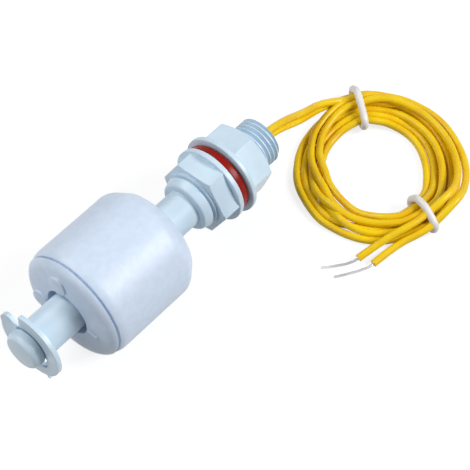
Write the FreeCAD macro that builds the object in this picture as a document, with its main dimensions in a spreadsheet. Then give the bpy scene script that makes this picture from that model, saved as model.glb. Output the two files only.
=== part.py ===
import FreeCAD, Part
import math
import os
import Sketcher

# Float level switch lying on its side: stem along X, head end at -X, wires at +X, table at Z = 0.
# Sizes in millimetres and degrees. Lengths along the stem are measured from the head's flat end.
SIZES = {
    "head_length": 2.3, "head_chamfer": 0.5,
    "clip_groove": 1.05, "clip_groove_depth": 0.95, "clip_grip": 0.05,
    "stem_run": 39.65, "stem_radius": 3.85,
    "collar_length": 2.0, "collar_front_radius": 5.2, "collar_radius": 5.8,
    "neck_length": 0.45, "neck_radius": 5.0,
    "lip_length": 0.5, "lip_radius": 6.0,
    "body_hex_length": 4.0, "body_hex_flats": 13.6, "body_hex_turn": 58.0,
    "flange_length": 1.0, "flange_radius": 8.0,
    "thread_length": 14.2, "thread_radius": 4.9, "thread_end_chamfer": 0.5,
    "thread_relief": 0.6, "thread_relief_depth": 0.7,
    "reed_bore_start": 8.0, "reed_bore_radius": 2.2,
    "potting_bore_length": 11.2, "potting_bore_radius": 3.2,
    "hex_corner_cut": 1.0, "hex_corner_drop": 1.0,
    "clip_thickness": 0.9, "clip_gap": 0.07, "clip_width": 4.2,
    "clip_recess_width": 1.3, "clip_recess_depth": 0.35, "clip_mouth_turn": 50.0,
    "clip_throat": 0.55, "clip_mouth_half": 1.45, "clip_ear_radius": 2.2, "clip_ear_stand": 2.65,
    "clip_ear_turn": 6.0, "clip_notch_radius": 1.9, "clip_notch_stand": 1.0, "clip_notch_turn": -129.0,
    "clip_nub_half": 0.28, "clip_nub_length": 1.0, "clip_nub_turn": -119.0,
    "float_gap": 8.15, "float_radius": 11.65, "float_cap_length": 2.4, "cap_face_drop": 1.85,
    "cap_face_rise": 0.7, "cap_mouth_fit": 1.0, "cap_round": 0.9,
    "float_barrel": 18.3, "barrel_lead": 1.2, "barrel_lead_drop": 0.4,
    "float_shoulder": 2.9, "shoulder_drop": 2.35, "shoulder_round": 1.8,
    "float_wall": 1.4, "float_fit": 0.45, "guide_wall": 1.1,
    "seam_width": 0.35, "seam_depth": 0.4,
    "boss_radius": 2.0, "boss_reach": 6.9, "boss_height": 0.3,
    "boss_turn": 76.0, "second_boss_turn": -17.0,
    "rib_length": 2.6, "rib_width": 0.45, "rib_reach": 5.1, "rib_turn": -175.0,
    "magnet_radius": 8.6, "magnet_length": 6.0, "magnet_fit": 0.06, "magnet_seat": 9.0,
    "magnet_stop_radius": 6.8, "magnet_stop_length": 1.4,
    "gasket_thickness": 2.0, "gasket_radius": 7.55, "gasket_fit": 0.05, "gasket_bevel": 0.45,
    "nut_gap": 0.2, "nut_flange_length": 1.1, "nut_flange_radius": 8.5, "nut_flange_bevel": 0.25,
    "nut_wall": 0.8, "nut_mouth_cut": 0.5,
    "nut_hex_length": 5.75, "nut_hex_flats": 13.4, "nut_hex_turn": 49.0, "nut_fit": 0.06,
    "reed_glass_start": 15.0, "reed_glass_length": 13.0, "reed_glass_radius": 0.95,
    "reed_glass_wall": 0.2,
    "reed_seal_length": 1.4, "reed_lead_radius": 0.25, "lead_fit": 0.01,
    "reed_offset": 0.78, "lead_return_height": 0.95, "lead_bend_length": 1.4, "lead_fold_share": 0.9,
    "blade_overlap": 1.2, "blade_width": 0.9, "blade_thickness": 0.16, "blade_root": 0.05,
    "contact_gap": 0.1, "sleeve_radius": 0.45, "sleeve_start": 15.8,
    "joint_start": 47.0, "joint_length": 2.6, "joint_radius": 0.62,
    "strand_radius": 0.4, "wire_radius": 0.75, "wire_fit": 0.02,
    "potting_recess": 0.6, "potting_length": 9.0,
    "coil_centre_x": 48.4, "coil_centre_y": -17.7, "coil_turn": 40.0,
    "coil_outer_long": 19.3, "coil_outer_short": 16.9, "coil_inner_long": 12.0, "coil_inner_short": 9.3,
    "coil_bottom": 1.46, "coil_height": 3.9, "coil_bevel": 1.1,
    "tie_radius": 0.68, "tie_fit": 0.08, "tie_corner": 1.9,
    "first_tie_turn": 52.0, "second_tie_turn": 249.0,
}

HEAD_END = "head_length"
GROOVE_END = HEAD_END + " + clip_groove"
COLLAR_START = GROOVE_END + " + stem_run"
COLLAR_END = COLLAR_START + " + collar_length"
NECK_END = COLLAR_END + " + neck_length"
LIP_END = NECK_END + " + lip_length"
HEX_END = LIP_END + " + body_hex_length"
FLANGE_END = HEX_END + " + flange_length"
THREAD_END = FLANGE_END + " + thread_length"
FLOAT_START = GROOVE_END + " + float_gap"
SEAM = FLOAT_START + " + float_cap_length"
BARREL_END = SEAM + " + float_barrel"
FLOAT_END = BARREL_END + " + float_shoulder"
GASKET_END = FLANGE_END + " + gasket_thickness"
NUT_START = GASKET_END + " + nut_gap"
NUT_FLANGE_END = NUT_START + " + nut_flange_length"
NUT_END = NUT_FLANGE_END + " + nut_hex_length"
MAGNET_START = SEAM + " + magnet_seat"
MAGNET_END = MAGNET_START + " + magnet_length"
POTTING_END = THREAD_END + " - potting_recess"
POTTING_START = POTTING_END + " - potting_length"
CLIP_GROOVE_RADIUS = "stem_radius - clip_groove_depth"
CLIP_BORE_RADIUS = CLIP_GROOVE_RADIUS + " + clip_grip"
CLIP_RADIUS = CLIP_GROOVE_RADIUS + " + clip_width"
CLIP_RECESS_RADIUS = CLIP_GROOVE_RADIUS + " + clip_recess_width"
FLOAT_BORE_RADIUS = "stem_radius + float_fit"
GUIDE_RADIUS = FLOAT_BORE_RADIUS + " + guide_wall"
CAP_MOUTH_RADIUS = "stem_radius + cap_mouth_fit"
CAP_FACE_RADIUS = "float_radius - cap_face_drop"
BARREL_LEAD_RADIUS = "float_radius - barrel_lead_drop"
NUT_BORE_RADIUS = "thread_radius + nut_fit"

doc = FreeCAD.newDocument("float_level_switch")
sheet = doc.addObject("Spreadsheet::Sheet", "Sizes")
for row, (alias, size) in enumerate(SIZES.items(), start=1):
    sheet.set("A%d" % row, alias)
    sheet.set("B%d" % row, str(size))
    sheet.setAlias("B%d" % row, alias)
doc.recompute()

pieces = []


def value(text):
    """Sum of the named sizes and numbers in a text such as 'head_length + clip_groove'."""
    total = 0.0
    sign = 1.0
    for word in text.split():
        if word in "+-":
            sign = 1.0 if word == "+" else -1.0
        else:
            total += sign * (SIZES[word] if word in SIZES else float(word))
    return total


def formula(text):
    """The same sum written with the spreadsheet's cells."""
    return " ".join("Sizes." + word if word in SIZES else word for word in text.split())


LENGTH = value(THREAD_END)
AXIS_HEIGHT = SIZES["float_radius"]
STEM_PLACE = FreeCAD.Placement(FreeCAD.Vector(-LENGTH / 2, 0, AXIS_HEIGHT), FreeCAD.Rotation())


def on_stem(station, side=0.0, height=0.0):
    """Point in the switch's frame from a distance along the stem and offsets from its axis."""
    return FreeCAD.Vector(station - LENGTH / 2, side, height + AXIS_HEIGHT)


def new_body(label):
    """PartDesign body that lies along the stem."""
    body = doc.addObject("PartDesign::Body", label)
    body.Label = label
    body.Placement = STEM_PLACE
    pieces.append(body)
    return body


def new_sketch(body, name, role):
    """Empty sketch on one of the body's own origin planes."""
    sketch = body.newObject("Sketcher::SketchObject", name)
    plane = [item for item in body.Origin.OriginFeatures if item.Role == role][0]
    sketch.AttachmentSupport = [(plane, "")]
    sketch.MapMode = "FlatFace"
    return sketch


def outline(sketch, corners):
    """Closed outline whose corners are held by the spreadsheet's sizes."""
    points = [FreeCAD.Vector(value(x), value(y), 0) for x, y in corners]
    count = len(points)
    for index in range(count):
        sketch.addGeometry(Part.LineSegment(points[index], points[(index + 1) % count]))
    for index in range(count):
        sketch.addConstraint(Sketcher.Constraint("Coincident", index, 2, (index + 1) % count, 1))
    for index, (x, y) in enumerate(corners):
        for kind, text in (("DistanceX", x), ("DistanceY", y)):
            number = sketch.addConstraint(Sketcher.Constraint(kind, -1, 1, index, 1, value(text)))
            if any(word in SIZES for word in text.split()):
                sketch.setExpression("Constraints[%d]" % number, formula(text))


def turned(body, name, corners, kind="PartDesign::Revolution"):
    """Outline of distances along the stem and radii, turned about the stem's axis."""
    sketch = new_sketch(body, name + "_outline", "XY_Plane")
    outline(sketch, corners)
    feature = body.newObject(kind, name)
    feature.Profile = sketch
    feature.ReferenceAxis = (sketch, ["H_Axis"])
    feature.Angle = 360
    doc.recompute()
    return feature


def bored(body, name, corners):
    """Turned outline taken away from the body."""
    return turned(body, name, corners, "PartDesign::Groove")


def across(body, name, station, turn):
    """Empty sketch square to the stem at a distance along it, turned by the named angle from +Y."""
    sketch = new_sketch(body, name + "_outline", "YZ_Plane")
    spin = FreeCAD.Rotation(FreeCAD.Vector(0, 0, 1), value(turn))
    sketch.AttachmentOffset = FreeCAD.Placement(FreeCAD.Vector(0, 0, value(station)), spin)
    sketch.setExpression("AttachmentOffset.Base.z", formula(station))
    return sketch


def ring_in(sketch, reach, radius):
    """Circle in a sketch, its centre on the sketch's first axis."""
    centre = FreeCAD.Vector(value(reach), 0, 0)
    ring = sketch.addGeometry(Part.Circle(centre, FreeCAD.Vector(0, 0, 1), value(radius)))
    sketch.addConstraint(Sketcher.Constraint("PointOnObject", ring, 3, -1))
    number = sketch.addConstraint(Sketcher.Constraint("DistanceX", -1, 1, ring, 3, value(reach)))
    sketch.setExpression("Constraints[%d]" % number, formula(reach))
    number = sketch.addConstraint(Sketcher.Constraint("Radius", ring, value(radius)))
    sketch.setExpression("Constraints[%d]" % number, formula(radius))


def padded(body, name, sketch, length):
    """Sketch raised along the stem by a named length."""
    pad = body.newObject("PartDesign::Pad", name)
    pad.Profile = sketch
    pad.Length = value(length)
    pad.setExpression("Length", formula(length))
    doc.recompute()
    return pad


def cut_through(body, name, sketch):
    """Sketch cut through the whole body both ways."""
    pocket = body.newObject("PartDesign::Pocket", name)
    pocket.Profile = sketch
    pocket.Type = "ThroughAll"
    pocket.Midplane = True
    doc.recompute()
    return pocket


def hexagon(body, name, flats, turn, start, length):
    """Hexagonal prism along the stem, one corner turned by the named angle from +Y."""
    sketch = across(body, name, start, turn)
    radius = SIZES[flats] / math.sqrt(3)
    angles = [math.radians(60 * step) for step in range(6)]
    points = [FreeCAD.Vector(radius * math.cos(a), radius * math.sin(a), 0) for a in angles]
    for index in range(6):
        sketch.addGeometry(Part.LineSegment(points[index], points[(index + 1) % 6]))
    circle = sketch.addGeometry(Part.Circle(FreeCAD.Vector(), FreeCAD.Vector(0, 0, 1), radius), True)
    sketch.addConstraint(Sketcher.Constraint("Coincident", circle, 3, -1, 1))
    size = sketch.addConstraint(Sketcher.Constraint("Radius", circle, radius))
    sketch.setExpression("Constraints[%d]" % size, "Sizes.%s / sqrt(3)" % flats)
    for index in range(6):
        sketch.addConstraint(Sketcher.Constraint("Coincident", index, 2, (index + 1) % 6, 1))
        sketch.addConstraint(Sketcher.Constraint("PointOnObject", index, 1, circle))
    for index in range(5):
        sketch.addConstraint(Sketcher.Constraint("Equal", index, index + 1))
    sketch.addConstraint(Sketcher.Constraint("PointOnObject", 0, 1, -1))
    return padded(body, name, sketch, length)


def edge_names(feature, station, radius):
    """Names of a feature's round edges at a distance along the stem and of a radius."""
    names = []
    for index, edge in enumerate(feature.Shape.Edges, start=1):
        curve = edge.Curve
        if isinstance(curve, Part.Circle) and abs(curve.Radius - value(radius)) < 0.01:
            if abs(curve.Center.x - value(station)) < 0.01:
                names.append("Edge%d" % index)
    return names


def rounded(body, name, base, station, radius, size):
    """Round edge of the body blended with the named radius."""
    fillet = body.newObject("PartDesign::Fillet", name)
    fillet.Base = (base, edge_names(base, station, radius))
    fillet.Radius = SIZES[size]
    fillet.setExpression("Radius", "Sizes." + size)
    doc.recompute()
    return fillet


# Stem body: head, clip groove, stem, collar, hexagon, sealing flange and threaded tube in one moulding.
stem = new_body("stem_body")
turned(stem, "stem_turned", [
    ("0", "0"), ("0", "stem_radius - head_chamfer"), ("head_chamfer", "stem_radius"),
    (HEAD_END, "stem_radius"), (HEAD_END, CLIP_GROOVE_RADIUS),
    (GROOVE_END, CLIP_GROOVE_RADIUS), (GROOVE_END, "stem_radius"),
    (COLLAR_START, "stem_radius"), (COLLAR_START, "collar_front_radius"),
    (COLLAR_END, "collar_radius"), (COLLAR_END, "neck_radius"),
    (NECK_END, "neck_radius"), (NECK_END, "lip_radius"), (LIP_END, "lip_radius"),
    (LIP_END, "neck_radius"), (HEX_END, "neck_radius"), (HEX_END, "flange_radius"),
    (FLANGE_END, "flange_radius"), (FLANGE_END, "thread_radius - thread_relief_depth"),
    (FLANGE_END + " + thread_relief", "thread_radius - thread_relief_depth"),
    (FLANGE_END + " + thread_relief", "thread_radius"),
    (THREAD_END + " - thread_end_chamfer", "thread_radius"),
    (THREAD_END, "thread_radius - thread_end_chamfer"), (THREAD_END, "0"),
])
stem_hex = hexagon(stem, "stem_hexagon", "body_hex_flats", "body_hex_turn", LIP_END, "body_hex_length")
bored(stem, "stem_hexagon_corners", [
    (LIP_END, "lip_radius"),
    (LIP_END, "flange_radius + hex_corner_drop"),
    (LIP_END + " + hex_corner_cut + hex_corner_cut", "flange_radius + hex_corner_drop"),
])
bored(stem, "stem_bores", [
    ("reed_bore_start", "0"), ("reed_bore_start", "reed_bore_radius"),
    (THREAD_END + " - potting_bore_length", "reed_bore_radius"),
    (THREAD_END + " - potting_bore_length", "potting_bore_radius"),
    (THREAD_END, "potting_bore_radius"), (THREAD_END, "0"),
])

# Retaining clip: thin C ring snapped into the head's groove, with a V mouth, one broad ear,
# a hinge notch opposite the mouth and the gate's nub.
clip = new_body("retaining_clip")
CLIP_START = HEAD_END + " + clip_gap"
CLIP_END = CLIP_START + " + clip_thickness"
turned(clip, "clip_turned", [
    (CLIP_START, CLIP_RECESS_RADIUS), (CLIP_START, CLIP_RADIUS), (CLIP_END, CLIP_RADIUS),
    (CLIP_END, CLIP_BORE_RADIUS), (CLIP_START + " + clip_recess_depth", CLIP_BORE_RADIUS),
    (CLIP_START + " + clip_recess_depth", CLIP_RECESS_RADIUS),
])
ear = across(clip, "clip_ear", CLIP_START, "clip_ear_turn")
ring_in(ear, CLIP_GROOVE_RADIUS + " + clip_ear_stand", "clip_ear_radius")
padded(clip, "clip_ear", ear, "clip_thickness")
nub = across(clip, "clip_nub", CLIP_START, "clip_nub_turn")
outline(nub, [
    (CLIP_RADIUS + " - clip_nub_length", "- clip_nub_half"),
    (CLIP_RADIUS + " + clip_nub_length", "- clip_nub_half"),
    (CLIP_RADIUS + " + clip_nub_length", "clip_nub_half"),
    (CLIP_RADIUS + " - clip_nub_length", "clip_nub_half"),
])
padded(clip, "clip_nub", nub, "clip_thickness")
mouth = across(clip, "clip_mouth", CLIP_START, "clip_mouth_turn")
outline(mouth, [
    ("0", "- clip_throat"), (CLIP_BORE_RADIUS, "- clip_throat"),
    (CLIP_RADIUS + " + clip_ear_radius", "- clip_mouth_half"),
    (CLIP_RADIUS + " + clip_ear_radius", "clip_mouth_half"),
    (CLIP_BORE_RADIUS, "clip_throat"), ("0", "clip_throat"),
])
cut_through(clip, "clip_mouth", mouth)
notch = across(clip, "clip_notch", CLIP_START, "clip_notch_turn")
ring_in(notch, CLIP_GROOVE_RADIUS + " + clip_notch_stand", "clip_notch_radius")
cut_through(clip, "clip_notch", notch)

# Float shell: barrel, conical far shoulder and the guide tube that runs on the stem.
shell = new_body("float_shell")
shell_turned = turned(shell, "shell_turned", [
    (SEAM, "float_radius - float_wall"), (SEAM, BARREL_LEAD_RADIUS),
    (SEAM + " + barrel_lead", "float_radius"), (BARREL_END, "float_radius"),
    (FLOAT_END, "float_radius - shoulder_drop"), (FLOAT_END, FLOAT_BORE_RADIUS),
    (SEAM, FLOAT_BORE_RADIUS), (SEAM, GUIDE_RADIUS),
    (MAGNET_END, GUIDE_RADIUS), (MAGNET_END, "magnet_stop_radius"),
    (MAGNET_END + " + magnet_stop_length", "magnet_stop_radius"),
    (MAGNET_END + " + magnet_stop_length", GUIDE_RADIUS),
    (FLOAT_END + " - float_wall", GUIDE_RADIUS),
    (BARREL_END, "float_radius - float_wall"),
])
rounded(shell, "shell_shoulder", shell_turned, BARREL_END, "float_radius", "shoulder_round")

# Float cap: domed end welded to the shell at the seam groove, with its round mouth and raised marks.
cap = new_body("float_cap")
cap_turned = turned(cap, "cap_turned", [
    (SEAM, CAP_MOUTH_RADIUS), (SEAM, BARREL_LEAD_RADIUS + " - seam_depth"),
    (SEAM + " - seam_width", BARREL_LEAD_RADIUS + " - seam_depth"),
    (SEAM + " - seam_width", BARREL_LEAD_RADIUS),
    (FLOAT_START + " + cap_face_rise", CAP_FACE_RADIUS), (FLOAT_START, CAP_MOUTH_RADIUS),
])
rounded(cap, "cap_edge", cap_turned, FLOAT_START + " + cap_face_rise", CAP_FACE_RADIUS, "cap_round")

for number, turn in enumerate(("boss_turn", "second_boss_turn"), start=1):
    mark = across(cap, "cap_boss_%d" % number, FLOAT_START, turn)
    ring_in(mark, "boss_reach", "boss_radius")
    padded(cap, "cap_boss_%d" % number, mark, "cap_face_rise + boss_height")
mark = across(cap, "cap_rib", FLOAT_START, "rib_turn")
outline(mark, [
    ("rib_reach", "0"), ("rib_reach + rib_length", "0"),
    ("rib_reach + rib_length", "rib_width"), ("rib_reach", "rib_width"),
])
padded(cap, "cap_rib", mark, "cap_face_rise + boss_height")

# Ring magnet inside the float, seated against the guide tube's stop.
magnet = new_body("ring_magnet")
turned(magnet, "magnet_turned", [
    (MAGNET_START, GUIDE_RADIUS + " + magnet_fit"), (MAGNET_START, "magnet_radius"),
    (MAGNET_END, "magnet_radius"), (MAGNET_END, GUIDE_RADIUS + " + magnet_fit"),
])

# Gasket: soft ring with a bevelled rim, against the body's flange.
gasket = new_body("gasket")
gasket_turned = turned(gasket, "gasket_turned", [
    (FLANGE_END, "thread_radius + gasket_fit"), (FLANGE_END, "gasket_radius - gasket_bevel"),
    (FLANGE_END + " + gasket_bevel", "gasket_radius"),
    (GASKET_END + " - gasket_bevel", "gasket_radius"), (GASKET_END, "gasket_radius - gasket_bevel"),
    (GASKET_END, "thread_radius + gasket_fit"),
])

# Lock nut: round flange and hexagon with cut corners, bored for the threaded tube.
nut = new_body("lock_nut")
turned(nut, "nut_turned", [
    (NUT_START, NUT_BORE_RADIUS), (NUT_START, "nut_flange_radius - nut_flange_bevel"),
    (NUT_START + " + nut_flange_bevel", "nut_flange_radius"),
    (NUT_FLANGE_END + " - nut_flange_bevel", "nut_flange_radius"),
    (NUT_FLANGE_END, "nut_flange_radius - nut_flange_bevel"),
    (NUT_FLANGE_END, NUT_BORE_RADIUS + " + nut_wall"),
    (NUT_END, NUT_BORE_RADIUS + " + nut_wall"), (NUT_END, NUT_BORE_RADIUS),
])
hexagon(nut, "nut_hexagon", "nut_hex_flats", "nut_hex_turn", NUT_FLANGE_END, "nut_hex_length")
bored(nut, "nut_corners", [
    (NUT_END + " - hex_corner_cut", "nut_flange_radius"), (NUT_END, "nut_flange_radius"),
    (NUT_END, "nut_flange_radius - hex_corner_drop - hex_corner_drop"),
])
bored(nut, "nut_bore", [
    (NUT_START, "0"), (NUT_END, "0"),
    (NUT_END, NUT_BORE_RADIUS), (NUT_START, NUT_BORE_RADIUS),
])
bored(nut, "nut_mouth", [
    (NUT_END, NUT_BORE_RADIUS), (NUT_END, NUT_BORE_RADIUS + " + nut_mouth_cut"),
    (NUT_END + " - nut_mouth_cut", NUT_BORE_RADIUS),
])

# Potting plug: seals the threaded tube and grips the two wires, which leave one above the other.
plug = new_body("potting_plug")
turned(plug, "plug_turned", [
    (POTTING_START, "0"), (POTTING_START, "potting_bore_radius"),
    (POTTING_END, "potting_bore_radius"), (POTTING_END, "0"),
])
plug_holes = across(plug, "plug_holes", POTTING_END, "90")
ring_in(plug_holes, "reed_offset", "wire_radius + wire_fit")
ring_in(plug_holes, "- reed_offset", "wire_radius + wire_fit")
cut_through(plug, "plug_holes", plug_holes)

# Reed switch glass: closed capsule, hollow between its two end seals.
glass = new_body("reed_glass")
GLASS_END = "reed_glass_start + reed_glass_length"
turned(glass, "glass_turned", [
    ("reed_glass_start", "reed_lead_radius + lead_fit"),
    ("reed_glass_start", "reed_glass_radius - reed_glass_wall"),
    ("reed_glass_start + reed_glass_wall", "reed_glass_radius"),
    (GLASS_END + " - reed_glass_wall", "reed_glass_radius"),
    (GLASS_END, "reed_glass_radius - reed_glass_wall"), (GLASS_END, "reed_lead_radius + lead_fit"),
    (GLASS_END + " - reed_seal_length", "reed_lead_radius + lead_fit"),
    (GLASS_END + " - reed_seal_length", "reed_glass_radius - reed_glass_wall"),
    ("reed_glass_start + reed_seal_length", "reed_glass_radius - reed_glass_wall"),
    ("reed_glass_start + reed_seal_length", "reed_lead_radius + lead_fit"),
])
glass.Placement = FreeCAD.Placement(on_stem(0, 0, -SIZES["reed_offset"]), FreeCAD.Rotation())

# Reed blades and their leads. The head-side lead folds back along the glass; the two flat
# blades overlap inside the glass with the contact gap between them.
BLADE_MID = SIZES["reed_glass_start"] + SIZES["reed_glass_length"] / 2
JOINT_END = "joint_start + joint_length"


def drum(name, radius, length, place):
    """Part cylinder whose sizes follow the spreadsheet."""
    cylinder = doc.addObject("Part::Cylinder", name)
    cylinder.Radius = value(radius)
    cylinder.setExpression("Radius", formula(radius))
    cylinder.Height = value(length)
    cylinder.setExpression("Height", formula(length))
    cylinder.Placement = place
    return cylinder


def along(station, height=0.0):
    """Placement at a distance along the stem that points a cylinder along +X."""
    return FreeCAD.Placement(on_stem(station, 0, height), FreeCAD.Rotation(FreeCAD.Vector(0, 1, 0), 90))


def blade(name, start, length, height):
    """Flat reed blade lying along the glass."""
    box = doc.addObject("Part::Box", name)
    box.Length = length
    box.Width = SIZES["blade_width"]
    box.setExpression("Width", "Sizes.blade_width")
    box.Height = SIZES["blade_thickness"]
    box.setExpression("Height", "Sizes.blade_thickness")
    box.Placement = FreeCAD.Placement(
        on_stem(start, -SIZES["blade_width"] / 2, height - SIZES["reed_offset"]), FreeCAD.Rotation()
    )
    return box


def fused(label, parts):
    """One solid from the parts given."""
    union = doc.addObject("Part::MultiFuse", label)
    union.Label = label
    union.Shapes = parts
    union.Refine = True
    pieces.append(union)
    doc.recompute()
    return union


def run_with_bends(points, radii):
    """Wire of straight runs joined by tangent arcs, one radius for each inner corner."""
    edges = []
    last = points[0]
    for index in range(1, len(points) - 1):
        before = (points[index - 1] - points[index]).normalize()
        after = (points[index + 1] - points[index]).normalize()
        half_turn = (math.pi - before.getAngle(after)) / 2
        setback = radii[index - 1] * math.tan(half_turn)
        middle = (before + after).normalize()
        centre = points[index] + middle * (radii[index - 1] / math.cos(half_turn))
        start = points[index] + before * setback
        end = points[index] + after * setback
        crest = centre - middle * radii[index - 1]
        edges.append(Part.LineSegment(last, start).toShape())
        edges.append(Part.Arc(start, crest, end).toShape())
        last = end
    edges.append(Part.LineSegment(last, points[-1]).toShape())
    return Part.Wire(edges)


def tube(label, points, radii, radius):
    """Round tube swept along straight runs and arcs."""
    path = doc.addObject("Part::Feature", label + "_path")
    path.Shape = run_with_bends(points, radii)
    section = doc.addObject("Part::Circle", label + "_section")
    section.Radius = value(radius)
    section.setExpression("Radius", formula(radius))
    heading = (points[1] - points[0]).normalize()
    turn = FreeCAD.Rotation(FreeCAD.Vector(0, 0, 1), heading)
    section.Placement = FreeCAD.Placement(points[0], turn)
    sweep = doc.addObject("Part::Sweep", label)
    sweep.Label = label
    sweep.Sections = [section]
    sweep.Spine = (path, ["Edge%d" % (index + 1) for index in range(len(path.Shape.Edges))])
    sweep.Solid = True
    sweep.Frenet = False
    doc.recompute()
    return sweep


def own_radii(points):
    """Bend radii that leave a straight between neighbouring arcs."""
    radii = []
    for index in range(1, len(points) - 1):
        before = points[index - 1] - points[index]
        after = points[index + 1] - points[index]
        half_turn = (math.pi - before.getAngle(after)) / 2
        radii.append(0.45 * min(before.Length, after.Length) / math.tan(half_turn))
    return radii


folded = [
    on_stem(SIZES["reed_glass_start"] + SIZES["reed_seal_length"], 0, -SIZES["reed_offset"]),
    on_stem(SIZES["reed_glass_start"] - SIZES["lead_bend_length"], 0, -SIZES["reed_offset"]),
    on_stem(SIZES["reed_glass_start"] - SIZES["lead_bend_length"], 0, SIZES["lead_return_height"]),
    on_stem(SIZES["joint_start"], 0, SIZES["lead_return_height"]),
]
fold_radius = SIZES["reed_offset"] * SIZES["lead_fold_share"]
fold = tube("reed_lead_fold", folded, [fold_radius, fold_radius], "reed_lead_radius")
overlap = SIZES["blade_overlap"] / 2
inner_start = SIZES["reed_glass_start"] + SIZES["reed_seal_length"]
blade_length = BLADE_MID + overlap - inner_start
lower = -SIZES["contact_gap"] / 2 - SIZES["blade_thickness"]
blade_start = inner_start - SIZES["blade_root"]
fused("reed_blade_a", [fold, blade("blade_a_flat", blade_start, blade_length, lower)])
upper = SIZES["contact_gap"] / 2
straight = drum(
    "reed_lead_straight", "reed_lead_radius",
    "joint_start - reed_glass_start - reed_glass_length + reed_seal_length",
    along(value(GLASS_END + " - reed_seal_length"), -SIZES["reed_offset"]),
)
fused("reed_blade_b", [straight, blade("blade_b_flat", BLADE_MID - overlap, blade_length, upper)])

# Insulating sleeve on the folded lead.
sleeve = new_body("lead_sleeve")
turned(sleeve, "sleeve_turned", [
    ("sleeve_start", "reed_lead_radius + lead_fit"), ("sleeve_start", "sleeve_radius"),
    ("joint_start", "sleeve_radius"), ("joint_start", "reed_lead_radius + lead_fit"),
])
sleeve.Placement = FreeCAD.Placement(on_stem(0, 0, SIZES["lead_return_height"]), FreeCAD.Rotation())

# Solder joints between the leads and the wires, and the wires' runs through the potting.
WIRE_HEIGHTS = {"a": SIZES["reed_offset"], "b": -SIZES["reed_offset"]}
for letter, height in WIRE_HEIGHTS.items():
    joint_place = along(SIZES["joint_start"], height)
    joint = drum("solder_joint_" + letter, "joint_radius", "joint_length", joint_place)
    joint.Label = "solder_joint_" + letter
    pieces.append(joint)
    inner = drum(
        "wire_%s_inner" % letter, "wire_radius", POTTING_END + " - joint_start - joint_length",
        along(value(JOINT_END), height),
    )
    inner.Label = "wire_%s_inner" % letter
    pieces.append(inner)


def point(x, y, z):
    """Point in the switch's frame."""
    return FreeCAD.Vector(x, y, z)


# Lead-outs: from the potting's face, one above the other, down to the coil on the table.
EXIT = value(POTTING_END) - LENGTH / 2
RISE = SIZES["reed_offset"]
wire_runs = {
    "wire_a_lead": [
        point(EXIT, 0, AXIS_HEIGHT + RISE), point(38.2, 0, AXIS_HEIGHT + RISE),
        point(49.6, 0.3, 6.2), point(55.0, -0.9, 4.1), point(58.2, -3.0, 3.8),
    ],
    "wire_b_lead": [
        point(EXIT, 0, AXIS_HEIGHT - RISE), point(37.2, 0, AXIS_HEIGHT - RISE),
        point(48.4, 0.2, 4.6), point(54.0, -1.3, 2.5), point(57.4, -3.4, 2.3),
    ],
    "wire_a_tail": [
        point(46.6, -33.1, 3.7), point(41.0, -31.4, 3.7), point(35.6, -28.9, 3.0),
        point(29.2, -27.5, 1.0),
    ],
    "wire_b_tail": [
        point(46.4, -33.3, 2.25), point(41.6, -32.4, 2.3), point(36.2, -30.6, 1.7),
        point(30.3, -30.4, 0.8),
    ],
}
for label, points in wire_runs.items():
    radii = own_radii(points)
    print(label, "bend radii", [round(radius, 1) for radius in radii])
    pieces.append(tube(label, points, radii, "wire_radius"))

# Tinned ends: bare strands beyond the insulation.
tinned_runs = {
    "tinned_end_a": [point(29.2, -27.5, 1.0), point(27.99, -27.23, 0.62), point(23.1, -23.4, 0.5)],
    "tinned_end_b": [point(30.3, -30.4, 0.8), point(29.02, -30.36, 0.6), point(23.1, -26.6, 0.5)],
}
for label, points in tinned_runs.items():
    pieces.append(tube(label, points, own_radii(points), "strand_radius"))

# Coil: outer shape of the wound turns, an oval ring with bevelled edges.


def oval(name, long_radius, short_radius):
    """Upright oval block as high as the coil."""
    rim = doc.addObject("Part::Ellipse", name + "_rim")
    rim.MajorRadius = SIZES[long_radius]
    rim.setExpression("MajorRadius", "Sizes." + long_radius)
    rim.MinorRadius = SIZES[short_radius]
    rim.setExpression("MinorRadius", "Sizes." + short_radius)
    rim.Placement = FreeCAD.Placement(
        point(SIZES["coil_centre_x"], SIZES["coil_centre_y"], SIZES["coil_bottom"]),
        FreeCAD.Rotation(FreeCAD.Vector(0, 0, 1), SIZES["coil_turn"]),
    )
    block = doc.addObject("Part::Extrusion", name)
    block.Base = rim
    block.DirMode = "Normal"
    block.LengthFwd = SIZES["coil_height"]
    block.setExpression("LengthFwd", "Sizes.coil_height")
    block.Solid = True
    return block


coil_ring = doc.addObject("Part::Cut", "coil_ring")
coil_ring.Base = oval("coil_outside", "coil_outer_long", "coil_outer_short")
coil_ring.Tool = oval("coil_inside", "coil_inner_long", "coil_inner_short")
doc.recompute()
coil = doc.addObject("Part::Chamfer", "wire_coil")
coil.Label = "wire_coil"
coil.Base = coil_ring
for index, edge in enumerate(coil_ring.Shape.Edges, start=1):
    if isinstance(edge.Curve, Part.Ellipse):
        coil.Edges = coil.Edges + [(index, SIZES["coil_bevel"], SIZES["coil_bevel"])]
pieces.append(coil)
doc.recompute()

# Ties: round bands closed about the coil's section.


def oval_reach(long_radius, short_radius, turn):
    """Distance from the oval's centre to its rim in a direction given from +X."""
    angle = math.radians(turn - SIZES["coil_turn"])
    long_part = SIZES[short_radius] * math.cos(angle)
    short_part = SIZES[long_radius] * math.sin(angle)
    return SIZES[long_radius] * SIZES[short_radius] / math.hypot(long_part, short_part)


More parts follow.
